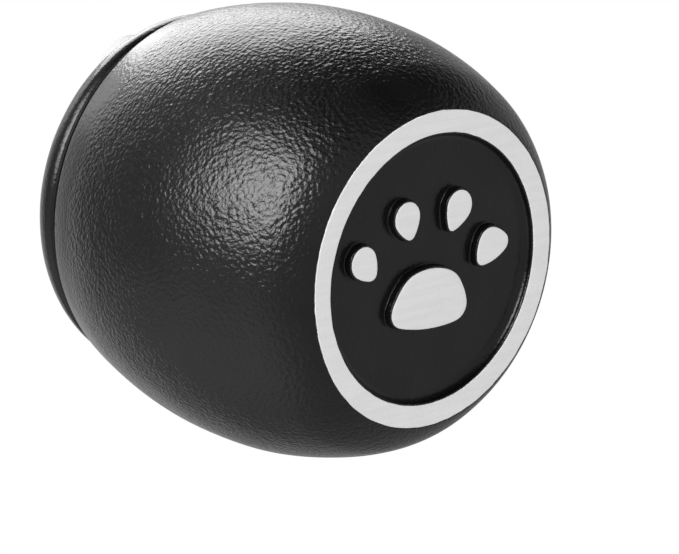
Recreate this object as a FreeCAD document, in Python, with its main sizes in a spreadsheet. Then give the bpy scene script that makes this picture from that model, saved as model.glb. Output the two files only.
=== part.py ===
"""Small round ceramic keepsake jar: a glazed body on a bare foot ring, a lift-off lid with a silicone
seal, and a paw print of raised bare pads on the base and on the lid.

Millimetres. The origin is the centre of the foot ring's resting plane, +Z is up along the jar's axis
and +Y is the way the toes of both paw prints point.
"""

import FreeCAD
import Part
import math
import os

from FreeCAD import Vector

# Driving dimensions: alias, value in mm, note.
DIMENSIONS = [
    ("foot_outer", 26.5, "foot ring, outer radius"),
    ("foot_inner", 22.75, "foot ring, inner radius"),
    ("recess_depth", 1.5, "base recess, and how far the ring and pads stand out of it"),
    ("glaze_edge_radius", 27.2, "radius at which the body's glaze stops, just outside the ring"),
    ("belly_radius", 37.5, "largest radius of the body"),
    ("belly_height", 31.0, "height of the largest radius"),
    ("upper_arc", 78.0, "radius of the side's arc above the belly"),
    ("middle_arc", 60.0, "radius of the side's arc below the belly"),
    ("lower_arc", 18.5, "radius of the arc that turns in to the foot"),
    ("lower_join", 8.0, "height where the middle and lower arcs meet"),
    ("wall", 4.0, "wall of the body"),
    ("floor_top", 6.0, "height of the floor inside"),
    ("floor_corner", 5.0, "radius of the corner round the floor inside"),
    ("rim_top", 58.5, "height of the rim"),
    ("rim_outer_round", 1.9, "rolled outer edge of the rim"),
    ("rim_inner_round", 0.8, "rolled inner edge of the rim"),
    ("mouth_radius", 28.0, "radius of the mouth"),
    ("mouth_depth", 5.5, "length of the straight neck under the rim"),
    ("neck_slope", 3.0, "height of the slope from the neck out to the wall"),
    ("flange_radius", 29.9, "outer radius of the seal's flange"),
    ("flange_thick", 1.8, "thickness of the flange, which is the gap under the lid"),
    ("lip_radius", 31.2, "outer radius of the thin lip at the top of the flange"),
    ("lip_thick", 0.65, "thickness of the lip"),
    ("sleeve_outer", 26.9, "outer radius of the seal's sleeve"),
    ("sleeve_inner", 25.65, "inner radius of the sleeve"),
    ("sleeve_length", 6.2, "how far the sleeve goes down from the rim"),
    ("rib_radius", 27.93, "outer radius of the sleeve's ribs"),
    ("rib_pitch", 1.8, "distance between ribs"),
    ("rib_drop", 1.52, "how far the first rib's middle is below the rim"),
    ("rib_half", 0.55, "half the height of a rib at its root"),
    ("rib_crest_half", 0.18, "half the height of a rib at its crest"),
    ("plug_outer", 25.6, "lid's plug, outer radius"),
    ("plug_inner", 22.6, "lid's plug, inner radius"),
    ("plug_length", 6.5, "how far the plug goes down from the rim"),
    ("lid_radius", 31.5, "outer radius of the lid"),
    ("lid_widest", 61.0, "height where the lid is widest"),
    ("lid_shoulder", 6.5, "radius of the lid's shoulder"),
    ("lid_crown", 71.2, "height of the lid's glazed top"),
    ("lid_wall", 3.5, "wall of the lid"),
    ("lid_edge_round", 0.65, "round on the lid's lower edge"),
    ("relief", 2.8, "how far the lid's pads stand out of the dome"),
    ("print_tool_height", 90.0, "height of the prisms that cut the lid's pads, well over the lid"),
    ("pad_edge", 0.25, "round on the edge of a ground face"),
]

# Pads of the base print. Each outline is arcs round a few circles, listed anticlockwise as (x, y, radius,
# radius of the flatter arc that joins this circle to the next one).
BASE_PADS = {
    "base_pad_main": [
        (6.8, -6.25, 2.5, 14.0),
        (3.4, -4.2, 4.2, 12.0),
        (-2.2, -4.75, 4.4, 14.0),
        (-5.0, -6.85, 2.75, 30.0),
    ],
    "base_toe_1": [(15.6, 3.7, 2.7, 7.0), (14.0, 1.7, 1.3, 7.0)],
    "base_toe_2": [(6.3, 9.6, 2.75, 8.0), (5.6, 6.9, 1.1, 8.0)],
    "base_toe_3": [(-5.3, 9.8, 2.8, 9.0), (-3.9, 6.75, 0.95, 9.0)],
    "base_toe_4": [(-12.8, 2.3, 2.85, 8.0), (-15.05, 2.2, 1.75, 9.0), (-11.0, 0.15, 1.3, 7.0)],
}

# Pads of the lid print. A toe is (angle from +Y towards +X, radius of its middle, length, width).
LID_MAIN_PAD = [
    (8.2, -9.3, 5.0, 30.0),
    (3.0, -4.4, 8.6, 20.0),
    (-3.0, -4.4, 8.6, 30.0),
    (-8.2, -9.3, 5.0, 34.0),
]
LID_TOES = {
    "lid_toe_1": (63.0, 20.2, 12.4, 10.2),
    "lid_toe_2": (21.0, 22.6, 13.6, 11.2),
    "lid_toe_3": (-21.0, 22.6, 13.6, 11.2),
    "lid_toe_4": (-63.0, 20.2, 12.4, 10.2),
}
TOE_TAPER = 0.62  # a lid toe's narrow inner end, over its wide outer end
TOE_SIDE = 16.0  # radius of the arcs along a lid toe's sides
RIB_COUNT = 3

doc = FreeCAD.newDocument("keepsake_jar")
sheet = doc.addObject("Spreadsheet::Sheet", "dims")
for row, (alias, value, note) in enumerate(DIMENSIONS, start=1):
    sheet.set(f"A{row}", note)
    sheet.set(f"B{row}", str(value))
    sheet.setAlias(f"B{row}", alias)
doc.recompute()


def dim(alias):
    """A driving dimension, read back from the sheet."""
    return float(sheet.get(alias))


def origin_plane(body, role):
    """One of a body's own origin planes."""
    return next(f for f in body.Origin.OriginFeatures if f.Role == role)


def new_body(label):
    body = doc.addObject("PartDesign::Body", label)
    body.Label = label
    body.Placement = FreeCAD.Placement()
    return body


def sketch_on(body, role, name):
    sketch = body.newObject("Sketcher::SketchObject", name)
    sketch.AttachmentSupport = [(origin_plane(body, role), "")]
    sketch.MapMode = "FlatFace"
    return sketch


def upright(radius, height):
    """A point of a profile, in the XZ plane's own coordinates."""
    return Vector(radius, height, 0)


def line(start, end):
    return Part.LineSegment(start, end)


def swept_arc(centre, start, end, least_turn):
    """The arc round a centre from one point to another that turns by least_turn or up to 360° more."""
    first = math.atan2(start.y - centre.y, start.x - centre.x)
    last = math.atan2(end.y - centre.y, end.x - centre.x)
    turn = (last - first - least_turn) % (2 * math.pi) + least_turn
    middle = first + turn / 2
    on_arc = centre + Vector(math.cos(middle), math.sin(middle), 0) * (start - centre).Length
    return Part.Arc(start, on_arc, end)


def arc_between(centre, start, end):
    """The shorter arc round a centre from one point to another."""
    return swept_arc(centre, start, end, -math.pi)


def anticlockwise_arc(centre, start, end):
    return swept_arc(centre, start, end, 0)


def revolve(body, name, geometry):
    """A full turn of a closed profile about the jar's axis."""
    sketch = sketch_on(body, "XZ_Plane", name + "_profile")
    sketch.addGeometry(geometry, False)
    turned = body.newObject("PartDesign::Revolution", name)
    turned.Profile = sketch
    turned.ReferenceAxis = (sketch, ["V_Axis"])
    turned.Angle = 360
    doc.recompute()
    return turned


def round_circles(body, name, rings, alias):
    """Fillet the circular edges that lie at the given (radius, height) pairs."""
    base = body.Tip
    names = []
    for number, edge in enumerate(base.Shape.Edges, start=1):
        if edge.Degenerated or edge.Curve.TypeId != "Part::GeomCircle":
            continue
        for radius, height in rings:
            if abs(edge.Curve.Radius - radius) < 0.01 and abs(edge.Curve.Center.z - height) < 0.01:
                names.append(f"Edge{number}")
    if len(names) != len(rings):
        raise RuntimeError(f"{name}: found {len(names)} edges for {len(rings)} rings")
    fillet = body.newObject("PartDesign::Fillet", name)
    fillet.Base = (base, names)
    fillet.setExpression("Radius", f"<<dims>>.{alias}")
    doc.recompute()
    return fillet


def joining_centre(near, near_radius, far, far_radius, join_radius):
    """Centre of the large arc that has both circles inside it and touches each of them."""
    to_near = join_radius - near_radius
    to_far = join_radius - far_radius
    along = far - near
    gap = along.Length
    along.normalize()
    forward = (to_near**2 - to_far**2 + gap**2) / (2 * gap)
    aside = math.sqrt(to_near**2 - forward**2)
    return near + along * forward + Vector(-along.y, along.x, 0) * aside


def rounded_outline(circles):
    """A smooth convex outline: an arc of each circle in turn, joined by flatter arcs that touch them."""
    joins = []
    for index, (x, y, radius, join_radius) in enumerate(circles):
        next_x, next_y, next_radius, _ = circles[(index + 1) % len(circles)]
        near = Vector(x, y, 0)
        far = Vector(next_x, next_y, 0)
        centre = joining_centre(near, radius, far, next_radius, join_radius)
        leave = centre + (near - centre) * (join_radius / (join_radius - radius))
        arrive = centre + (far - centre) * (join_radius / (join_radius - next_radius))
        joins.append((centre, leave, arrive))
    geometry = []
    for index, (x, y, radius, _) in enumerate(circles):
        join_centre, leave, next_arrive = joins[index]
        geometry.append(anticlockwise_arc(Vector(x, y, 0), joins[index - 1][2], leave))
        geometry.append(anticlockwise_arc(join_centre, leave, next_arrive))
    return geometry


# The arcs of the body's side. The belly's two arcs meet at its largest radius, both level there.
belly_z = dim("belly_height")
upper_centre = upright(dim("belly_radius") - dim("upper_arc"), belly_z)
middle_centre = upright(dim("belly_radius") - dim("middle_arc"), belly_z)


def on_arc_at(centre, radius, height):
    """The outer point of an arc at a height."""
    return upright(centre.x + math.sqrt(radius**2 - (height - centre.y) ** 2), height)


side_join = on_arc_at(middle_centre, dim("middle_arc"), dim("lower_join"))
outward_normal = (side_join - middle_centre) * (1 / dim("middle_arc"))
lower_centre = side_join - outward_normal * dim("lower_arc")


def make_jar_body():
    body = new_body("jar_body")
    wall = dim("wall")
    rim_z = dim("rim_top")
    edge_r = dim("glaze_edge_radius")
    edge_z = lower_centre.y - math.sqrt(dim("lower_arc") ** 2 - (edge_r - lower_centre.x) ** 2)
    lip_bottom = upright(edge_r, edge_z)
    lip_inner = upright(dim("foot_outer"), edge_z)
    under = dim("recess_depth")
    rim_outer = on_arc_at(upper_centre, dim("upper_arc"), rim_z)
    belly = upright(dim("belly_radius"), belly_z)
    mouth_top = upright(dim("mouth_radius"), rim_z)
    neck_z = rim_z - dim("mouth_depth")
    slope_z = neck_z - dim("neck_slope")
    inner_upper = dim("upper_arc") - wall
    inner_middle = dim("middle_arc") - wall
    inner_lower = dim("lower_arc") - wall
    inside_top = on_arc_at(upper_centre, inner_upper, slope_z)
    inside_belly = upright(dim("belly_radius") - wall, belly_z)
    inside_join = lower_centre + outward_normal * inner_lower
    floor_z = dim("floor_top")
    inside_floor = on_arc_at(lower_centre, inner_lower, floor_z)
    profile = [
        line(upright(0, under), upright(dim("foot_outer"), under)),
        line(upright(dim("foot_outer"), under), lip_inner),
        line(lip_inner, lip_bottom),
        arc_between(lower_centre, lip_bottom, side_join),
        arc_between(middle_centre, side_join, belly),
        arc_between(upper_centre, belly, rim_outer),
        line(rim_outer, mouth_top),
        line(mouth_top, upright(dim("mouth_radius"), neck_z)),
        line(upright(dim("mouth_radius"), neck_z), inside_top),
        arc_between(upper_centre, inside_top, inside_belly),
        arc_between(middle_centre, inside_belly, inside_join),
        arc_between(lower_centre, inside_join, inside_floor),
        line(inside_floor, upright(0, floor_z)),
        line(upright(0, floor_z), upright(0, under)),
    ]
    if (inside_join - middle_centre).Length - inner_middle > 0.001:
        raise RuntimeError("the inner arcs don't meet")
    revolve(body, "shell", profile)
    round_circles(body, "rim_outer_roll", [(rim_outer.x, rim_z)], "rim_outer_round")
    round_circles(body, "rim_inner_roll", [(dim("mouth_radius"), rim_z)], "rim_inner_round")
    round_circles(body, "floor_corner_round", [(inside_floor.x, floor_z)], "floor_corner")
    return body


def make_foot_ring():
    body = new_body("foot_ring")
    sketch = sketch_on(body, "XY_Plane", "ring_outline")
    centre = Vector(0, 0, 0)
    up = Vector(0, 0, 1)
    sketch.addGeometry(Part.Circle(centre, up, dim("foot_outer")), False)
    sketch.addGeometry(Part.Circle(centre, up, dim("foot_inner")), False)
    pad = body.newObject("PartDesign::Pad", "ring_height")
    pad.Profile = sketch
    pad.setExpression("Length", "<<dims>>.recess_depth")
    doc.recompute()
    rings = [(dim("foot_outer"), 0.0), (dim("foot_inner"), 0.0)]
    round_circles(body, "ring_edges", rings, "pad_edge")
    return body


def make_base_pad(label, circles):
    """A raised pad of the base print, its ground face in the plane of the foot ring's."""
    body = new_body(label)
    sketch = sketch_on(body, "XY_Plane", label + "_outline")
    sketch.addGeometry(rounded_outline(circles), False)
    pad = body.newObject("PartDesign::Pad", label + "_height")
    pad.Profile = sketch
    pad.setExpression("Length", "<<dims>>.recess_depth")
    doc.recompute()
    names = []
    for number, edge in enumerate(pad.Shape.Edges, start=1):
        if edge.BoundBox.ZMax < 0.001:
            names.append(f"Edge{number}")
    fillet = body.newObject("PartDesign::Fillet", label + "_edge")
    fillet.Base = (pad, names)
    fillet.setExpression("Radius", "<<dims>>.pad_edge")
    doc.recompute()
    return body


def make_seal_ring():
    """Silicone seal: a flange and lip that the lid sits on, and a ribbed sleeve round the lid's plug."""
    body = new_body("seal_ring")
    rim_z = dim("rim_top")
    top = rim_z + dim("flange_thick")
    sleeve_r = dim("sleeve_outer")
    low = rim_z - dim("sleeve_length")
    half = dim("rib_half")
    crest = dim("rib_crest_half")
    lip_z = top - dim("lip_thick")
    points = [
        upright(dim("sleeve_inner"), low),
        upright(dim("sleeve_inner"), top),
        upright(dim("lip_radius"), top),
        upright(dim("lip_radius"), lip_z),
        upright(dim("flange_radius"), lip_z),
        upright(dim("flange_radius"), rim_z),
        upright(sleeve_r, rim_z),
    ]
    for index in range(RIB_COUNT):
        middle = rim_z - dim("rib_drop") - dim("rib_pitch") * index
        points.append(upright(sleeve_r, middle + half))
        points.append(upright(dim("rib_radius"), middle + crest))
        points.append(upright(dim("rib_radius"), middle - crest))
        points.append(upright(sleeve_r, middle - half))
    points.append(upright(sleeve_r, low))
    profile = [line(points[i - 1], points[i]) for i in range(len(points))]
    revolve(body, "seal", profile)
    return body


# The lid's dome: a shoulder arc that meets a wide crown arc, both turned about the jar's axis.
shoulder_centre = upright(dim("lid_radius") - dim("lid_shoulder"), dim("lid_widest"))
shoulder_drop = dim("lid_crown") - shoulder_centre.y
crown_radius = (shoulder_centre.x**2 + shoulder_drop**2 - dim("lid_shoulder") ** 2) / (
    2 * (shoulder_drop - dim("lid_shoulder"))
)
crown_centre = upright(0, dim("lid_crown") - crown_radius)


def dome_arcs(raise_by):
    """The dome's arcs from its widest circle to the axis, pushed outwards by raise_by, and their ends."""
    towards = shoulder_centre - crown_centre
    towards.normalize()
    join = crown_centre + towards * (crown_radius + raise_by)
    widest = upright(dim("lid_radius") + raise_by, dim("lid_widest"))
    top = upright(0, dim("lid_crown") + raise_by)
    arcs = [arc_between(shoulder_centre, widest, join), arc_between(crown_centre, join, top)]
    return arcs, widest, top


def make_lid():
    body = new_body("lid")
    under = dim("rim_top") + dim("flange_thick")
    low = dim("rim_top") - dim("plug_length")
    arcs, widest, top = dome_arcs(0)
    inner_crown = crown_radius - dim("lid_wall")
    inner_top = upright(0, dim("lid_crown") - dim("lid_wall"))
    plug_inner = dim("plug_inner")
    plug_outer = dim("plug_outer")
    roof_edge = upright(plug_inner, crown_centre.y + math.sqrt(inner_crown**2 - plug_inner**2))
    edge = upright(dim("lid_radius"), under)
    profile = arcs + [
        line(top, inner_top),
        arc_between(crown_centre, inner_top, roof_edge),
        line(roof_edge, upright(plug_inner, low)),
        line(upright(plug_inner, low), upright(plug_outer, low)),
        line(upright(plug_outer, low), upright(plug_outer, under)),
        line(upright(plug_outer, under), edge),
        line(edge, widest),
    ]
    revolve(body, "lid_shell", profile)
    round_circles(body, "lid_lower_edge", [(dim("lid_radius"), under)], "lid_edge_round")
    return body


def dome_solid(name, raise_by):
    """The space under the lid's dome, or under the dome pushed outwards, as a working solid."""
    body = new_body(name)
    arcs, widest, top = dome_arcs(raise_by)
    low = upright(widest.x, dim("rim_top"))
    axis_low = upright(0, dim("rim_top"))
    profile = arcs + [line(top, axis_low), line(axis_low, low), line(low, widest)]
    revolve(body, name + "_turned", profile)
    return body


def toe_circles(angle, radius, length, width):
    """The outline's circles of a toe that points away from the jar's axis."""
    outer_r = width / 2
    inner_r = outer_r * TOE_TAPER
    out = Vector(math.sin(math.radians(angle)), math.cos(math.radians(angle)), 0)
    far = out * (radius + length / 2 - outer_r)
    near = out * (radius - length / 2 + inner_r)
    return [(far.x, far.y, outer_r, TOE_SIDE), (near.x, near.y, inner_r, TOE_SIDE)]


def make_lid_pad(label, circles, dome, raised_dome):
    """A raised pad of the lid print: its outline stood on the dome, up to the raised dome."""
    prism = new_body(label + "_prism")
    sketch = sketch_on(prism, "XY_Plane", label + "_outline")
    sketch.addGeometry(rounded_outline(circles), False)
    pad = prism.newObject("PartDesign::Pad", label + "_height")
    pad.Profile = sketch
    pad.setExpression("Length", "<<dims>>.print_tool_height")
    common = doc.addObject("Part::Common", label + "_under_raised_dome")
    common.Base = prism
    common.Tool = raised_dome
    cut = doc.addObject("Part::Cut", label)
    cut.Base = common
    cut.Tool = dome
    cut.Label = label
    cut.Placement = FreeCAD.Placement()
    doc.recompute()
    return cut


subparts = [make_jar_body(), make_foot_ring()]
for pad_label, pad_circles in BASE_PADS.items():
    subparts.append(make_base_pad(pad_label, pad_circles))
subparts.append(make_seal_ring())
subparts.append(make_lid())
plain_dome = dome_solid("dome", 0)
high_dome = dome_solid("raised_dome", dim("relief"))
subparts.append(make_lid_pad("lid_pad_main", LID_MAIN_PAD, plain_dome, high_dome))
for toe_label, toe in LID_TOES.items():
    subparts.append(make_lid_pad(toe_label, toe_circles(*toe), plain_dome, high_dome))

doc.recompute()
for item in doc.Objects:
    if "Invalid" in item.State or "Error" in item.State:
        raise RuntimeError(f"{item.Label} failed: {item.State}")
for part in subparts:
    if part.Shape.isNull() or not part.Shape.isValid() or len(part.Shape.Solids) != 1:
        raise RuntimeError(f"{part.Label} isn't one valid solid")

os.makedirs("parts", exist_ok=True)
for part in subparts:
    part.Shape.exportStep(f"parts/{part.Label}.step")
    print(part.Label, "volume", round(part.Shape.Volume, 1))
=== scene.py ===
"""Looks of a small round ceramic keepsake jar: black orange-peel glaze, a bare ground foot ring and paw
print on the base, and a domed lid with a raised bare paw print. Profiles are in millimetres, objects in
metres."""

import math

import bpy
from mathutils import Matrix, Vector, noise
from mathutils.geometry import convex_hull_2d


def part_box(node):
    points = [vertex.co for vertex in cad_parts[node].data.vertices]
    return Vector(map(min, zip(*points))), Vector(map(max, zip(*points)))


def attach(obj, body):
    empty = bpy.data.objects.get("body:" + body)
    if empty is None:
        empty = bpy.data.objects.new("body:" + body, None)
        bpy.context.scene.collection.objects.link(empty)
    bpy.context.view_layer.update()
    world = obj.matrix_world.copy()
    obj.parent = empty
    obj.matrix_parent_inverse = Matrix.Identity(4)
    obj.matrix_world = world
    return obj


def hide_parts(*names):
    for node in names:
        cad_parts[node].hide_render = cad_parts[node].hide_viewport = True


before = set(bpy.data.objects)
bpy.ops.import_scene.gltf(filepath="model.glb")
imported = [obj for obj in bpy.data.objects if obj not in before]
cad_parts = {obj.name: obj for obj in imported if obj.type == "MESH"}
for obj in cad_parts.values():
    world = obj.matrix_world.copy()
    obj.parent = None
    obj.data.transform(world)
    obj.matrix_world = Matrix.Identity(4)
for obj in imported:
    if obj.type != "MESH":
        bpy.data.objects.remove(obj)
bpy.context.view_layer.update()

MM = 0.001
ROUND_STEPS = 360  # segments round the jar's axis
OUTLINE_STEPS = 120  # segments round a pad
SMOOTHING = 8  # passes that soften a pad's outline

# Sizes that the frame gives, in millimetres.
body_high = Vector(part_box("jar_body")[1]) / MM
ring_high = Vector(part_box("foot_ring")[1]) / MM
seal_low, seal_high = (Vector(corner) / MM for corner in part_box("seal_ring"))
lid_low, lid_high = (Vector(corner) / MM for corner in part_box("lid"))
BELLY = body_high.x
RIM = body_high.z
FOOT_OUTER = ring_high.x
RECESS = ring_high.z
LID_UNDER = seal_high.z
LID_RADIUS = lid_high.x
CROWN = lid_high.z
LIP = seal_high.x

# Sizes of the design that a box can't give, in millimetres.
FOOT_INNER = 22.75
BELLY_HEIGHT = 31.0
UPPER_ARC = 78.0
MIDDLE_ARC = 60.0
LOWER_ARC = 18.5
LOWER_JOIN = 8.0
WALL = 4.0
FLOOR = 6.0
FLOOR_CORNER = 5.0
RIM_OUTER_ROUND = 1.9
RIM_INNER_ROUND = 0.8
MOUTH = 28.0
NECK = 5.5
NECK_SLOPE = 3.0
LID_WIDEST = 61.0
LID_SHOULDER = 6.5
LID_LOW_WIDTH = 0.75  # how far the lid's lower edge turns in, and over what height
LID_LOW_HEIGHT = 1.5
ROOF_CORNER = 1.2  # radius where the lid's inside roof meets the plug
PLUG_ROUND = 0.5  # radius of the plug's lower edges
PLUG_OUTER = 25.6
PLUG_INNER = 22.6
LID_WALL = 3.5
FLANGE = 29.9
LIP_THICK = 0.65
SLEEVE_INNER = 25.65
SLEEVE_OUTER = 26.9
RIB = 27.93  # outer radius of the sleeve's ribs
RIB_COUNT = 3
RIB_PITCH = 1.8
RIB_DROP = 1.52  # from the rim down to the first rib's middle
RIB_ROUND = 0.22  # radius of a rib's edge
RIB_HALF = 0.6  # half of a rib's height at its root
RELIEF = 2.8  # how far the lid's pads stand up
LAP = 0.5  # how far the glaze comes in over the foot ring's outer edge, at most
LAP_MIDDLE = -12.0  # where it comes in most, degrees from +X towards +Y
LAP_SPREAD = 30.0  # how fast that fades either way, degrees

# The glaze's surface. Its fades are (start, end), in millimetres.
PEEL_SCALE = 1550.0  # features per metre, for dimples a little under a millimetre across
PEEL_DEPTH = 0.155  # height of the peel, mm
PADS_REACH = (20.0, 20.6)  # radius that the base's pads stay within
RECESS_TOP = (2.5, 3.5)  # height over which the recess's calm glaze ends
RIM_FADE = (47.0, 55.0)  # height over which the side's glaze grows calm towards the rim
DOME_FADE = (63.5, 67.5)  # height over which the lid's glaze grows lively again
RECESS_CALM = 0.28  # share of the peel's height that is left in the recess
RIM_CALM = 0.35  # share that is left by the rim

BASE_PADS = ["base_pad_main", "base_toe_1", "base_toe_2", "base_toe_3", "base_toe_4"]
LID_PADS = ["lid_pad_main", "lid_toe_1", "lid_toe_2", "lid_toe_3", "lid_toe_4"]


# ---------------------------------------------------------------- profiles and meshes


def arc(centre, radius, start, end, steps):
    """Points of an arc in a profile, from one angle in degrees to another."""
    points = []
    for step in range(steps + 1):
        angle = math.radians(start + (end - start) * step / steps)
        points.append((centre[0] + radius * math.cos(angle), centre[1] + radius * math.sin(angle)))
    return points


def straight(start, end, steps):
    """Evenly spaced points of a straight run in a profile."""
    return [
        (start[0] + (end[0] - start[0]) * k / steps, start[1] + (end[1] - start[1]) * k / steps)
        for k in range(steps + 1)
    ]


def joined(*runs):
    """Runs one after another, without the points that repeat."""
    points = []
    for run in runs:
        for point in run:
            if not points or math.dist(points[-1], point) > 1e-4:
                points.append(point)
    return points


def angle_of(centre, point):
    return math.degrees(math.atan2(point[1] - centre[1], point[0] - centre[0]))


def make_object(name, vertices, faces):
    mesh = bpy.data.meshes.new(name)
    mesh.from_pydata([Vector(v) * MM for v in vertices], [], faces)
    mesh.validate()
    mesh.polygons.foreach_set("use_smooth", [True] * len(mesh.polygons))
    mesh.update()
    piece = bpy.data.objects.new(name, mesh)
    bpy.context.scene.collection.objects.link(piece)
    return piece


def loops_to_object(name, loops, closed):
    """Quads between successive loops of points. A loop of one point is a pole. The first loop is the inner
    side's; closed joins the last loop back to the first."""
    vertices = []
    starts = []
    for loop in loops:
        starts.append(len(vertices))
        vertices.extend(loop)
    faces = []
    pairs = [(k, k + 1) for k in range(len(loops) - 1)]
    if closed:
        pairs.append((len(loops) - 1, 0))
    for low, high in pairs:
        count = max(len(loops[low]), len(loops[high]))
        for k in range(count):
            after = (k + 1) % count
            if len(loops[low]) == 1:
                faces.append((starts[low], starts[high] + after, starts[high] + k))
            elif len(loops[high]) == 1:
                faces.append((starts[low] + k, starts[low] + after, starts[high]))
            else:
                faces.append(
                    (starts[low] + k, starts[low] + after, starts[high] + after, starts[high] + k)
                )
    return make_object(name, vertices, faces)


def turned(name, profile, wobble=None, closed=False):
    """A profile of (radius, height) turned about the jar's axis. wobble moves a point a little."""
    loops = []
    for radius, height in profile:
        if radius < 1e-6:
            loops.append([(0.0, 0.0, height)])
            continue
        loop = []
        for step in range(ROUND_STEPS):
            angle = 2 * math.pi * step / ROUND_STEPS
            out, up = radius, height
            if wobble is not None:
                out, up = wobble(radius, height, angle)
            loop.append((out * math.cos(angle), out * math.sin(angle), up))
        loops.append(loop)
    return loops_to_object(name, loops, closed)


def outline_of(node):
    """A convex node's outline seen along the axis: evenly spaced points, anticlockwise, in millimetres."""
    points = [Vector((v.co.x, v.co.y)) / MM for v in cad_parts[node].data.vertices]
    hull = [points[k] for k in convex_hull_2d(points)]
    area = sum(a.x * b.y - b.x * a.y for a, b in zip(hull, hull[1:] + hull[:1]))
    if area < 0:
        hull.reverse()
    lengths = [0.0]
    for a, b in zip(hull, hull[1:] + hull[:1]):
        lengths.append(lengths[-1] + (b - a).length)
    even = []
    side = 0
    for step in range(OUTLINE_STEPS):
        want = lengths[-1] * step / OUTLINE_STEPS
        while lengths[side + 1] < want:
            side += 1
        share = (want - lengths[side]) / max(lengths[side + 1] - lengths[side], 1e-9)
        even.append(hull[side].lerp(hull[(side + 1) % len(hull)], share))
    for _ in range(SMOOTHING):
        even = [
            (even[k - 1] + even[k] * 2 + even[(k + 1) % OUTLINE_STEPS]) / 4 for k in range(OUTLINE_STEPS)
        ]
    return even


def middle_of(outline):
    return sum(outline, Vector((0, 0))) / len(outline)


def grown(outline, distance):
    """The outline moved outwards by a distance, or inwards by a negative one."""
    moved = []
    count = len(outline)
    for k, point in enumerate(outline):
        along = outline[(k + 1) % count] - outline[k - 1]
        along.normalize()
        moved.append(point + Vector((along.y, -along.x)) * distance)
    return moved


def wave(point, size, depth, seed):
    """Smooth noise of a depth in mm, over a distance of about a size in mm."""
    return noise.noise(Vector(point) / size + Vector((seed * 7.3, seed * 3.1, seed * 5.7))) * depth


# ---------------------------------------------------------------- materials


def new_material(name):
    material = bpy.data.materials.new(name)
    material.use_nodes = True
    nodes = material.node_tree.nodes
    return material, nodes, material.node_tree.links, nodes["Principled BSDF"]


def noise_node(nodes, links, vector, scale, detail, roughness=0.5):
    """Noise whose scale is in features per metre."""
    texture = nodes.new("ShaderNodeTexNoise")
    texture.inputs["Scale"].default_value = scale
    texture.inputs["Detail"].default_value = detail
    texture.inputs["Roughness"].default_value = roughness
    links.new(vector, texture.inputs["Vector"])
    return texture.outputs["Fac"]


def remap(nodes, links, value, low, high, to_low, to_high):
    """A value taken smoothly from one range to another, and held at its ends."""
    node = nodes.new("ShaderNodeMapRange")
    node.interpolation_type = "SMOOTHSTEP"
    node.inputs["From Min"].default_value = low
    node.inputs["From Max"].default_value = high
    node.inputs["To Min"].default_value = to_low
    node.inputs["To Max"].default_value = to_high
    links.new(value, node.inputs["Value"])
    return node.outputs["Result"]


def maths(nodes, links, operation, first, second):
    node = nodes.new("ShaderNodeMath")
    node.operation = operation
    for socket, value in zip(node.inputs, (first, second)):
        if isinstance(value, (int, float)):
            socket.default_value = value
        else:
            links.new(value, socket)
    return node.outputs["Value"]


def mixed(nodes, links, factor, first, second):
    """A blend of two colours. A Mix node's sockets 6 and 7 and output 2 are its colours."""
    node = nodes.new("ShaderNodeMix")
    node.data_type = "RGBA"
    links.new(factor, node.inputs["Factor"])
    node.inputs[6].default_value = first
    node.inputs[7].default_value = second
    return node.outputs[2]


def grey(value):
    return (value, value, value, 1.0)


def bump(nodes, links, height, strength, distance, normal=None):
    """A bump of a distance in metres, on top of another bump's normal if one is given."""
    node = nodes.new("ShaderNodeBump")
    node.inputs["Strength"].default_value = strength
    node.inputs["Distance"].default_value = distance
    links.new(height, node.inputs["Height"])
    if normal is not None:
        links.new(normal, node.inputs["Normal"])
    return node.outputs["Normal"]


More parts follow.
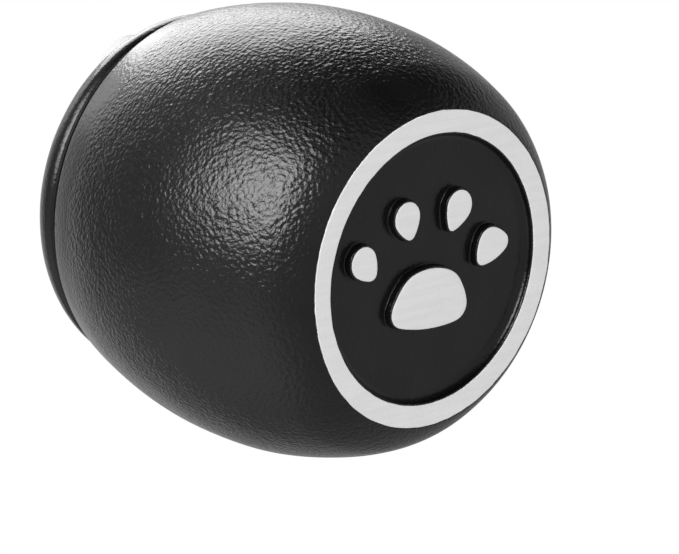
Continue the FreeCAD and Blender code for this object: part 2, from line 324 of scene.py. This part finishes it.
def glaze_material():
    """Black glaze: a satin gloss with an orange-peel surface, calmer in the recess and by the rim."""
    material, nodes, links, shader = new_material("black_glaze")
    place = nodes.new("ShaderNodeTexCoord").outputs["Object"]
    split = nodes.new("ShaderNodeSeparateXYZ")
    links.new(place, split.inputs["Vector"])
    flat = nodes.new("ShaderNodeVectorMath")
    flat.operation = "MULTIPLY"
    flat.inputs[1].default_value = (1, 1, 0)
    links.new(place, flat.inputs[0])
    reach = nodes.new("ShaderNodeVectorMath")
    reach.operation = "LENGTH"
    links.new(flat.outputs["Vector"], reach.inputs[0])

    def fade(source, span, before, after):
        return remap(nodes, links, source, span[0] * MM, span[1] * MM, before, after)

    radius = reach.outputs["Value"]
    up = split.outputs["Z"]
    inside_ring = fade(radius, (FOOT_INNER - 0.45, FOOT_INNER - 0.15), 1.0, 0.0)
    past_pads = fade(radius, PADS_REACH, 0.0, 1.0)
    on_floor = fade(up, (RECESS - 0.4, RECESS - 0.1), 0.0, 1.0)
    off_pads = maths(nodes, links, "MAXIMUM", on_floor, past_pads)
    below = maths(nodes, links, "MULTIPLY", inside_ring, fade(up, RECESS_TOP, 1.0, 0.0))
    in_recess = maths(nodes, links, "MULTIPLY", below, off_pads)
    near_rim = maths(nodes, links, "MULTIPLY", fade(up, RIM_FADE, 0.0, 1.0), fade(up, DOME_FADE, 1.0, 0.0))
    recess_calm = remap(nodes, links, in_recess, 0.0, 1.0, 1.0, RECESS_CALM)
    rim_calm = remap(nodes, links, near_rim, 0.0, 1.0, 1.0, RIM_CALM)
    calm = maths(nodes, links, "MULTIPLY", recess_calm, rim_calm)

    peel = noise_node(nodes, links, place, PEEL_SCALE, 1.5, 0.45)
    dimples = nodes.new("ShaderNodeTexVoronoi")
    dimples.feature = "SMOOTH_F1"
    dimples.inputs["Scale"].default_value = PEEL_SCALE * 0.8
    dimples.inputs["Smoothness"].default_value = 0.6
    links.new(place, dimples.inputs["Vector"])
    swell = noise_node(nodes, links, place, 90.0, 2.0)
    dimpled = maths(nodes, links, "MULTIPLY", dimples.outputs["Distance"], 0.55)
    height = maths(nodes, links, "ADD", peel, dimpled)
    height = maths(nodes, links, "MULTIPLY", height, calm)
    fine = noise_node(nodes, links, place, 5200.0, 2.0)
    normal = bump(nodes, links, swell, 0.5, 0.0004)
    normal = bump(nodes, links, height, 1.0, PEEL_DEPTH * MM, normal)
    normal = bump(nodes, links, fine, 0.4, 0.000012, normal)
    links.new(normal, shader.inputs["Normal"])
    tone = remap(nodes, links, swell, 0.3, 0.7, 0.0, 1.0)
    links.new(mixed(nodes, links, tone, grey(0.0030), grey(0.0055)), shader.inputs["Base Color"])
    links.new(remap(nodes, links, fine, 0.3, 0.75, 0.20, 0.28), shader.inputs["Roughness"])
    shader.inputs["IOR"].default_value = 1.5
    return material


def clay_material(name, streaks, dark, light):
    """Bare fired clay: near white, matte and mottled, with fine streaks where it was ground flat."""
    material, nodes, links, shader = new_material(name)
    place = nodes.new("ShaderNodeTexCoord").outputs["Object"]
    stretch = nodes.new("ShaderNodeMapping")
    stretch.inputs["Scale"].default_value = (0.045, 1.0, 1.0)
    stretch.inputs["Rotation"].default_value = (0.0, 0.0, math.radians(5.0))
    links.new(place, stretch.inputs["Vector"])
    lines = noise_node(nodes, links, stretch.outputs["Vector"], 900.0, 4.0, 0.6)
    mottle = noise_node(nodes, links, place, 210.0, 4.0, 0.6)
    grain = noise_node(nodes, links, place, 2600.0, 3.0, 0.65)
    tone = maths(nodes, links, "ADD", maths(nodes, links, "MULTIPLY", mottle, 0.6), grain)
    tone = maths(nodes, links, "ADD", tone, maths(nodes, links, "MULTIPLY", lines, streaks))
    tone = remap(nodes, links, tone, 0.55 + 0.3 * streaks, 1.05 + 0.7 * streaks, 0.0, 1.0)
    links.new(mixed(nodes, links, tone, grey(dark), grey(light)), shader.inputs["Base Color"])
    links.new(remap(nodes, links, grain, 0.3, 0.7, 0.62, 0.86), shader.inputs["Roughness"])
    normal = bump(nodes, links, grain, 0.4, 0.00003)
    normal = bump(nodes, links, lines, 0.25 * streaks, 0.00003, normal)
    links.new(normal, shader.inputs["Normal"])
    shader.inputs["IOR"].default_value = 1.45
    return material


def silicone_material():
    """Black silicone rubber with a faint moulded grain."""
    material, nodes, links, shader = new_material("silicone")
    place = nodes.new("ShaderNodeTexCoord").outputs["Object"]
    cloud = noise_node(nodes, links, place, 160.0, 3.0)
    grain = noise_node(nodes, links, place, 3000.0, 2.0)
    tone = remap(nodes, links, cloud, 0.3, 0.7, 0.0, 1.0)
    links.new(mixed(nodes, links, tone, grey(0.010), grey(0.016)), shader.inputs["Base Color"])
    links.new(remap(nodes, links, grain, 0.3, 0.7, 0.48, 0.62), shader.inputs["Roughness"])
    links.new(bump(nodes, links, grain, 0.3, 0.00002), shader.inputs["Normal"])
    shader.inputs["IOR"].default_value = 1.41
    shader.inputs["Specular IOR Level"].default_value = 0.3
    return material


GLAZE = glaze_material()
GROUND_CLAY = clay_material("bare_clay_ground", 1.0, 0.75, 0.84)
RELIEF_CLAY = clay_material("bare_clay_relief", 0.15, 0.62, 0.70)
SILICONE = silicone_material()


def finish_piece(piece, material, body, slot, *nodes):
    """Gives a piece its material and its CAD body, and hides the CAD nodes that it stands for. slot is not
    used.
    """
    piece.data.materials.append(material)
    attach(piece, body)
    if nodes:
        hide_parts(*nodes)
    return piece


# ---------------------------------------------------------------- the jar


def side_point(centre, radius, height):
    return (centre[0] + math.sqrt(radius**2 - (height - centre[1]) ** 2), height)


upper_centre = (BELLY - UPPER_ARC, BELLY_HEIGHT)
middle_centre = (BELLY - MIDDLE_ARC, BELLY_HEIGHT)
side_join = side_point(middle_centre, MIDDLE_ARC, LOWER_JOIN)
lean = LOWER_ARC / MIDDLE_ARC
lower_centre = tuple(s + (m - s) * lean for s, m in zip(side_join, middle_centre))


def body_profile():
    """From the middle of the recess, under the foot ring, up the side, over the rim and down inside."""
    join_angle = angle_of(lower_centre, side_join)
    cove = RECESS - 0.2  # radius of the recess's corner
    cove_start = FOOT_INNER - 0.35 - cove
    # The seat that the ring stands in, which it hides.
    seat_top = RECESS - 0.1
    seat_inner = FOOT_INNER + 0.15
    seat_outer = FOOT_OUTER - 0.2
    edge_radius = FOOT_OUTER + 0.16
    edge_drop = math.sqrt(LOWER_ARC**2 - (edge_radius - lower_centre[0]) ** 2)
    edge_angle = angle_of(lower_centre, (edge_radius, lower_centre[1] - edge_drop))
    rim_corner = side_point(upper_centre, UPPER_ARC, RIM)
    roll_z = RIM - RIM_OUTER_ROUND
    # The rolled edge's arc touches the side and the rim's flat top.
    reach = UPPER_ARC - RIM_OUTER_ROUND
    roll_centre = (upper_centre[0] + math.sqrt(reach**2 - (roll_z - BELLY_HEIGHT) ** 2), roll_z)
    roll_start = angle_of(upper_centre, roll_centre)
    neck_z = RIM - NECK
    inside_top = side_point(upper_centre, UPPER_ARC - WALL, neck_z - NECK_SLOPE)
    inner_middle = MIDDLE_ARC - WALL
    corner_z = FLOOR + FLOOR_CORNER
    corner_reach = inner_middle - FLOOR_CORNER
    corner_centre = (
        middle_centre[0] + math.sqrt(corner_reach**2 - (corner_z - BELLY_HEIGHT) ** 2),
        corner_z,
    )
    corner_start = angle_of(middle_centre, corner_centre)
    return joined(
        straight((0.0, RECESS), (cove_start, RECESS), 40),
        arc((cove_start, RECESS - cove), cove, 90, 12, 14),
        # The glaze's rounded edge inside the ring, the seat, and the edge outside.
        arc((FOOT_INNER - 0.15, 0.32), 0.24, 170, 300, 10),
        straight((FOOT_INNER - 0.01, 0.12), (seat_inner, 0.5), 3),
        straight((seat_inner, 0.5), (seat_inner, seat_top), 4),
        straight((seat_inner, seat_top), (seat_outer, seat_top), 4),
        straight((seat_outer, seat_top), (seat_outer, 0.5), 4),
        [(FOOT_OUTER - 0.04, 0.14), (FOOT_OUTER + 0.05, 0.07)],
        arc(lower_centre, LOWER_ARC, edge_angle, join_angle, 48),
        arc(middle_centre, MIDDLE_ARC, join_angle, 0, 50),
        arc(upper_centre, UPPER_ARC, 0, roll_start, 58),
        arc(roll_centre, RIM_OUTER_ROUND, roll_start, 90, 12),
        straight((roll_centre[0], RIM), (MOUTH + RIM_INNER_ROUND, RIM), 6),
        arc((MOUTH + RIM_INNER_ROUND, RIM - RIM_INNER_ROUND), RIM_INNER_ROUND, 90, 180, 8),
        straight((MOUTH, RIM - RIM_INNER_ROUND), (MOUTH, neck_z), 6),
        straight((MOUTH, neck_z), inside_top, 5),
        arc(upper_centre, UPPER_ARC - WALL, angle_of(upper_centre, inside_top), 0, 24),
        arc(middle_centre, inner_middle, 0, corner_start, 24),
        arc(corner_centre, FLOOR_CORNER, corner_start, -90, 12),
        straight((corner_centre[0], FLOOR), (0.0, FLOOR), 14),
    )


def glaze_lap(angle):
    """How far the glaze comes in over the ring's outer edge, in mm. It's widest a little below +X."""
    away = (math.degrees(angle) - LAP_MIDDLE + 180) % 360 - 180
    return LAP * math.exp(-((away / LAP_SPREAD) ** 2))


def body_wobble(radius, height, angle):
    """Slight unevenness of a cast and glazed side, and of the glaze's edges at the ring."""
    at = (radius * math.cos(angle), radius * math.sin(angle), height)
    out, up = radius, height
    if height > 2.5 and radius > MOUTH + 1.0:  # the outside
        out += wave(at, 9.0, 0.07, 1)
    # The glaze's edges: uneven outside the ring, and nearly true inside it.
    if height < 0.45 and FOOT_INNER - 0.45 < radius < FOOT_OUTER + 0.8:
        share = 1.0 if radius > (FOOT_INNER + FOOT_OUTER) / 2 else 0.1
        out += wave(at, 1.1, 0.10, 2) * share
        up += abs(wave(at, 0.9, 0.12, 3)) * share
    lap_edge = FOOT_OUTER - 0.1
    lap_end = FOOT_OUTER + 1.5
    if height < 1.4 and lap_edge < radius < lap_end:
        out -= glaze_lap(angle) * ((lap_end - radius) / (lap_end - lap_edge)) ** 2
    if abs(height - RECESS) < 0.05 and radius < 21.0:  # the recess's floor
        up += wave(at, 6.0, 0.05, 4)
    return out, up


def make_jar_body():
    piece = turned("jar_glazed_body", body_profile(), body_wobble)
    finish_piece(piece, GLAZE, "jar", "black_glaze", "jar_body")


def make_foot_ring():
    """The bare ring: a ground flat face with broken edges, and rounded where it goes into the glaze."""
    edge = 0.14
    profile = joined(
        straight((FOOT_INNER + 0.02, RECESS - 0.2), (FOOT_INNER, edge), 6),
        arc((FOOT_INNER + edge, edge), edge, 180, 270, 5),
        straight((FOOT_INNER + edge, 0.0), (FOOT_OUTER - edge, 0.0), 16),
        arc((FOOT_OUTER - edge, edge), edge, 270, 360, 5),
        straight((FOOT_OUTER, edge), (FOOT_OUTER - 0.02, RECESS - 0.2), 6),
        straight((FOOT_OUTER - 0.02, RECESS - 0.2), (FOOT_INNER + 0.02, RECESS - 0.2), 8),
    )

    def wobble(radius, height, angle):
        at = (radius * math.cos(angle), radius * math.sin(angle), 0.0)
        across = max(0.0, (radius - FOOT_INNER) / (FOOT_OUTER - FOOT_INNER))
        return radius + wave(at, 1.6, 0.07, 5) - glaze_lap(angle) * across**2, height

    piece = turned("foot_ring_bare_face", profile[:-1], wobble, closed=True)
    finish_piece(piece, GROUND_CLAY, "jar", "bare_clay", "foot_ring")


def shrunk_loop(outline, share, height):
    """The outline scaled towards its middle, at a height."""
    middle = middle_of(outline)
    return [(*middle.lerp(point, share), height) for point in outline]


def make_base_pad(node):
    """A raised pad: a bare ground face on a clay block, and the glaze that runs up its wall."""
    outline = outline_of(node)
    middle = middle_of(outline)
    inner_shares = [k / 8 for k in range(1, 8)]
    root = RECESS + 0.1  # the block's hidden end, inside the body
    loops = [[(middle.x, middle.y, root)]]
    for share in inner_shares:
        loops.append(shrunk_loop(outline, share, root))
    # Each section is (how far outside the outline, height).
    sections = [(0.0, root), (0.0, 0.9), (0.0, 0.2), (-0.03, 0.07), (-0.09, 0.015), (-0.18, 0.0)]
    for offset, height in sections:
        ring = grown(outline, offset)
        loops.append([(p.x, p.y, height) for p in ring])
    face = grown(outline, sections[-1][0])
    for share in reversed(inner_shares):
        loops.append(shrunk_loop(face, share, 0.0))
    loops.append([(middle.x, middle.y, 0.0)])
    block = loops_to_object(node + "_bare_face", loops, closed=False)
    finish_piece(block, GROUND_CLAY, "jar", "bare_clay", node)

    # The collar's section, in the same terms: its edge by the face, its wall, and its spread on the floor.
    collar = joined(
        [(-0.12, 0.5), (-0.01, 0.12)],
        arc((0.15, 0.24), 0.19, 220, 355, 9),
        straight((0.34, 0.3), (0.30, RECESS - 0.3), 6),
        arc((0.52, RECESS - 0.22), 0.22, 180, 95, 7),
        [(0.56, RECESS - 0.005), (0.80, RECESS + 0.08), (-0.12, RECESS + 0.08)],
    )
    loops = []
    for offset, height in collar:
        loop = []
        for point in grown(outline, offset):
            ripple = wave((point.x, point.y, height), 1.2, 0.08, 6)
            shift = (point - middle).normalized() * (ripple if 0.0 < offset < 0.54 else 0.0)
            loop.append((point.x + shift.x, point.y + shift.y, height))
        loops.append(loop)
    glaze = loops_to_object(node + "_glaze", loops, closed=True)
    finish_piece(glaze, GLAZE, "jar", "black_glaze")


# ---------------------------------------------------------------- the seal and the lid


def make_seal():
    """Silicone: the flange and tapered lip that show under the lid, and the ribbed sleeve."""
    bottom = seal_low.z
    lip_z = LID_UNDER - LIP_THICK
    edge = 0.16  # radius of the lip's edge
    flange = joined(
        straight((SLEEVE_INNER, bottom + 0.2), (SLEEVE_INNER, LID_UNDER), 6),
        straight((SLEEVE_INNER, LID_UNDER), (LIP - 0.2, LID_UNDER), 8),
        arc((LIP - edge, LID_UNDER - edge), edge, 90, -70, 9),
        straight((LIP - 0.25, LID_UNDER - 0.36), (FLANGE + 0.1, lip_z), 4),
        arc((FLANGE + 0.1, lip_z - 0.1), 0.1, 90, 180, 3),
        straight((FLANGE, lip_z - 0.1), (FLANGE, RIM), 4),
        straight((FLANGE, RIM), (SLEEVE_OUTER + 0.3, RIM), 6),
        arc((SLEEVE_OUTER + 0.3, RIM - 0.3), 0.3, 90, 180, 4),
    )
    ribs = []
    for index in range(RIB_COUNT):
        middle = RIM - RIB_DROP - RIB_PITCH * index
        ribs.append((SLEEVE_OUTER, middle + RIB_HALF))
        ribs.extend(arc((RIB - RIB_ROUND, middle), RIB_ROUND, 70, -70, 6))
        ribs.append((SLEEVE_OUTER, middle - RIB_HALF))
    foot = [(SLEEVE_OUTER, bottom + 0.2), (SLEEVE_OUTER - 0.2, bottom), (SLEEVE_INNER + 0.2, bottom)]
    piece = turned("silicone_seal", joined(flange, ribs, foot), closed=True)
    finish_piece(piece, SILICONE, "seal", "silicone", "seal_ring")


shoulder_centre = (LID_RADIUS - LID_SHOULDER, LID_WIDEST)
drop = CROWN - LID_WIDEST
crown_radius = (shoulder_centre[0] ** 2 + drop**2 - LID_SHOULDER**2) / (2 * (drop - LID_SHOULDER))
crown_centre = (0.0, CROWN - crown_radius)
crown_end = angle_of(crown_centre, shoulder_centre)


def dome_height(radius, lift):
    """Height of the lid's dome at a radius, or of the dome lifted along its normal."""
    join = (crown_radius + lift) * math.cos(math.radians(crown_end))
    if radius < join:
        return crown_centre[1] + math.sqrt((crown_radius + lift) ** 2 - radius**2)
    reach = LID_SHOULDER + lift
    across = min(radius - shoulder_centre[0], reach)
    return LID_WIDEST + math.sqrt(reach**2 - across**2)


def lid_wobble(radius, height, angle):
    """Slight unevenness of the lid's side and of its crown."""
    at = (radius * math.cos(angle), radius * math.sin(angle), height)
    if height > LID_UNDER + 0.3 and radius > PLUG_INNER + 0.5:
        return radius + wave(at, 8.0, 0.05, 7), height
    if height > CROWN - 2.5:
        return radius, height + wave(at, 9.0, 0.05, 8)
    return radius, height


def make_lid():
    """The glazed dome with its lower edge turned in, and the hollow plug under it."""
    low = lid_low.z
    inner_crown = crown_radius - LID_WALL
    roof_radius = PLUG_INNER - ROOF_CORNER
    roof_edge = crown_centre[1] + math.sqrt(inner_crown**2 - roof_radius**2)
    roof_angle = angle_of(crown_centre, (roof_radius, roof_edge))
    side_low = side_point(shoulder_centre, LID_SHOULDER, LID_UNDER + LID_LOW_HEIGHT)
    start = angle_of(shoulder_centre, side_low)
    low_edge = [
        (side_low[0] - LID_LOW_WIDTH * (1 - across), side_low[1] - LID_LOW_HEIGHT * down)
        for across, down in arc((0.0, 0.0), 1.0, 90, 0, 12)
    ]
    profile = joined(
        arc(crown_centre, inner_crown, 90, roof_angle, 20),
        arc((roof_radius, roof_edge - ROOF_CORNER), ROOF_CORNER, 75, 0, 6),
        straight((PLUG_INNER, roof_edge - ROOF_CORNER), (PLUG_INNER, low + PLUG_ROUND), 12),
        arc((PLUG_INNER + PLUG_ROUND, low + PLUG_ROUND), PLUG_ROUND, 180, 270, 5),
        arc((PLUG_OUTER - PLUG_ROUND, low + PLUG_ROUND), PLUG_ROUND, 270, 360, 5),
        straight((PLUG_OUTER, low + PLUG_ROUND), (PLUG_OUTER, LID_UNDER), 8),
        straight((PLUG_OUTER, LID_UNDER), low_edge[0], 8),
        low_edge,
        arc(shoulder_centre, LID_SHOULDER, start, crown_end, 34),
        arc(crown_centre, crown_radius, crown_end, 90, 60),
    )
    # Clear the rounding error at the two poles.
    profile[0] = (0.0, profile[0][1])
    profile[-1] = (0.0, profile[-1][1])
    piece = turned("lid_glazed_dome", profile, lid_wobble)
    finish_piece(piece, GLAZE, "lid", "black_glaze", "lid")


def make_lid_pad(node):
    """A pillowy raised pad on the dome, all bare clay."""
    outline = outline_of(node)
    middle = middle_of(outline)
    soft = 1.0  # radius of the pad's soft shoulder
    # Each section is (how far outside the outline, height over the dome).
    sections = [(-0.6, -0.6), (0.0, -0.6), (0.06, 0.0), (0.0, 0.35), (0.0, RELIEF - soft)]
    for step in range(1, 10):
        turn = math.radians(90 * step / 9)
        sections.append((-soft * (1 - math.cos(turn)), RELIEF - soft + soft * math.sin(turn) * 0.93))
    loops = [[(middle.x, middle.y, dome_height(middle.length, -0.6))]]
    for offset, lift in sections:
        loop = []
        for point in grown(outline, offset):
            lifted = lift + (wave((point.x, point.y, lift), 3.0, 0.08, 9) if lift > 0.3 else 0.0)
            loop.append((point.x, point.y, dome_height(point.length, lifted)))
        loops.append(loop)
    top = grown(outline, sections[-1][0])
    top_lift = sections[-1][1]
    for share in [k / 12 for k in range(11, 0, -1)]:
        swell = top_lift + (RELIEF - top_lift) * (1 - share**2)
        loop = []
        for point in top:
            place = middle.lerp(point, share)
            lifted = swell + wave((place.x, place.y, 0.0), 4.0, 0.06, 10) * share
            loop.append((place.x, place.y, dome_height(place.length, lifted)))
        loops.append(loop)
    loops.append([(middle.x, middle.y, dome_height(middle.length, RELIEF))])
    piece = loops_to_object(node + "_relief", loops, closed=False)
    finish_piece(piece, RELIEF_CLAY, "lid", "bare_clay", node)


make_jar_body()
make_foot_ring()
for pad in BASE_PADS:
    make_base_pad(pad)
make_seal()
make_lid()
for pad in LID_PADS:
    make_lid_pad(pad)


# ---------------------------------------------------------------- camera, stage and light

CAMERA_AZIMUTH = 22.59  # degrees from +X towards +Y
CAMERA_ELEVATION = -44.92  # degrees over the resting plane, so it looks up at the base
CAMERA_ROLL = -72.07  # degrees that the camera turns about its own line of sight
CAMERA_DISTANCE = 0.6703  # metres, from the point that it's aimed at
CAMERA_AIM = Vector((-0.00227, -0.00727, 0.02510))  # metres
CAMERA_LENS = 212.1  # mm, on a sensor 36 mm wide


def camera_axes():
    """The directions of the camera's right, top and back, in the jar's frame."""
    azimuth = math.radians(CAMERA_AZIMUTH)
    elevation = math.radians(CAMERA_ELEVATION)
    roll = math.radians(CAMERA_ROLL)
    level = math.cos(elevation)
    back = Vector((level * math.cos(azimuth), level * math.sin(azimuth), math.sin(elevation)))
    across = Vector((0.0, 0.0, 1.0)).cross(back).normalized()
    right = across * math.cos(roll) + back.cross(across) * math.sin(roll)
    return right, back.cross(right), back


CAMERA_RIGHT, CAMERA_UP, CAMERA_BACK = camera_axes()


def make_camera():
    data = bpy.data.cameras.new("camera")
    data.sensor_width = 36.0
    data.lens = CAMERA_LENS
    data.clip_start = 0.01
    data.clip_end = 50.0
    camera = bpy.data.objects.new("camera", data)
    turn = Matrix((CAMERA_RIGHT, CAMERA_UP, CAMERA_BACK)).transposed()
    place = CAMERA_AIM + CAMERA_BACK * CAMERA_DISTANCE
    camera.matrix_world = Matrix.Translation(place) @ turn.to_4x4()
    bpy.context.scene.collection.objects.link(camera)
    bpy.context.scene.camera = camera


def seen(right, up, back):
    """A direction given by how it looks from the main camera, in the jar's frame."""
    return (CAMERA_RIGHT * right + CAMERA_UP * up + CAMERA_BACK * back).normalized()


def softbox(name, direction, distance, width, height, radiance, reflected=True):
    """A soft light that faces the jar, with sizes in metres. radiance is its brightness beside the white
    backdrop's."""
    data = bpy.data.lights.new(name, "AREA")
    data.shape = "RECTANGLE"
    data.size = width
    data.size_y = height
    data.energy = radiance * math.pi * width * height
    light = bpy.data.objects.new(name, data)
    middle = Vector((0.0, 0.0, 0.035))
    light.location = middle + direction * distance
    light.rotation_mode = "QUATERNION"
    light.rotation_quaternion = direction.to_track_quat("Z", "Y")
    light.visible_camera = False
    light.visible_glossy = reflected
    bpy.context.scene.collection.objects.link(light)


def lobe(nodes, links, direction, toward, edge, core, amount):
    """A soft round patch of the room: amount in the middle, nothing beyond the edge. Both are cosines."""
    dot = nodes.new("ShaderNodeVectorMath")
    dot.operation = "DOT_PRODUCT"
    dot.inputs[1].default_value = toward
    links.new(direction, dot.inputs[0])
    return remap(nodes, links, dot.outputs["Value"], edge, core, 0.0, amount)


def make_world():
    """White to the camera. To everything else it's a room that is pale behind the jar and dim over it."""
    world = bpy.data.worlds.new("studio")
    world.use_nodes = True
    nodes = world.node_tree.nodes
    links = world.node_tree.links
    background = nodes["Background"]
    background.inputs["Color"].default_value = (1, 1, 1, 1)
    direction = nodes.new("ShaderNodeTexCoord").outputs["Generated"]
    room = ROOM_LIGHT
    for toward, edge, core, amount in ROOM_PATCHES:
        room = maths(nodes, links, "ADD", room, lobe(nodes, links, direction, toward, edge, core, amount))
    room = maths(nodes, links, "MAXIMUM", room, 0.03)
    path = nodes.new("ShaderNodeLightPath")
    # A Mix node's sockets 0, 2 and 3 and output 0 are its factor, two numbers and result.
    strength = nodes.new("ShaderNodeMix")
    links.new(path.outputs["Is Camera Ray"], strength.inputs[0])
    links.new(room, strength.inputs[2])
    strength.inputs[3].default_value = 1.0
    links.new(strength.outputs[0], background.inputs["Strength"])
    bpy.context.scene.world = world


def make_floor():
    """A pale floor under the foot. It's seen only from above, and neither lights nor shades the jar, so
    that the base can be seen from below."""
    half = 4.0
    below = -0.0002
    mesh = bpy.data.meshes.new("floor")
    corners = [(-half, -half, below), (half, -half, below), (half, half, below), (-half, half, below)]
    mesh.from_pydata(corners, [], [(0, 1, 2, 3)])
    floor = bpy.data.objects.new("floor", mesh)
    bpy.context.scene.collection.objects.link(floor)
    material, nodes, links, shader = new_material("floor")
    shader.inputs["Base Color"].default_value = (0.86, 0.86, 0.86, 1)
    shader.inputs["Roughness"].default_value = 0.9
    clear = nodes.new("ShaderNodeBsdfTransparent")
    side = nodes.new("ShaderNodeNewGeometry")
    choice = nodes.new("ShaderNodeMixShader")
    links.new(side.outputs["Backfacing"], choice.inputs["Fac"])
    links.new(shader.outputs["BSDF"], choice.inputs[1])
    links.new(clear.outputs["BSDF"], choice.inputs[2])
    links.new(choice.outputs["Shader"], nodes["Material Output"].inputs["Surface"])
    mesh.materials.append(material)
    floor.visible_diffuse = False
    floor.visible_glossy = False
    floor.visible_transmission = False
    floor.visible_shadow = False


ROOM_LIGHT = 0.38
# Each patch is (direction, cosines at its edge and core, how much light it adds or takes away).
ROOM_PATCHES = [
    (seen(-0.40, 0.12, -0.91), 0.70, 1.0, 0.40),
    (seen(-0.64, -0.76, 0.12), 0.70, 1.0, 0.30),
    (seen(-0.20, -0.70, -0.70), 0.50, 1.0, -0.12),
    (seen(-0.93, 0.12, -0.36), 0.88, 1.0, -0.17),
    (seen(-0.60, 0.52, -0.61), 0.970, 0.995, 1.10),
    (seen(0.36, 0.93, 0.02), 0.58, 0.95, -0.36),
]
make_camera()
make_world()
make_floor()
softbox("key", seen(-0.59, 0.39, 0.71), 0.60, 0.50, 0.50, 4.1)
softbox("key_core", seen(-0.57, 0.38, 0.73), 0.58, 0.26, 0.26, 5.0)
softbox("back", seen(-0.20, 0.70, -0.68), 0.80, 0.54, 0.54, 3.5)
softbox("face", seen(0.55, -0.25, 0.80), 0.80, 0.50, 0.50, 3.5, reflected=False)
bpy.context.scene.view_settings.view_transform = "Standard"
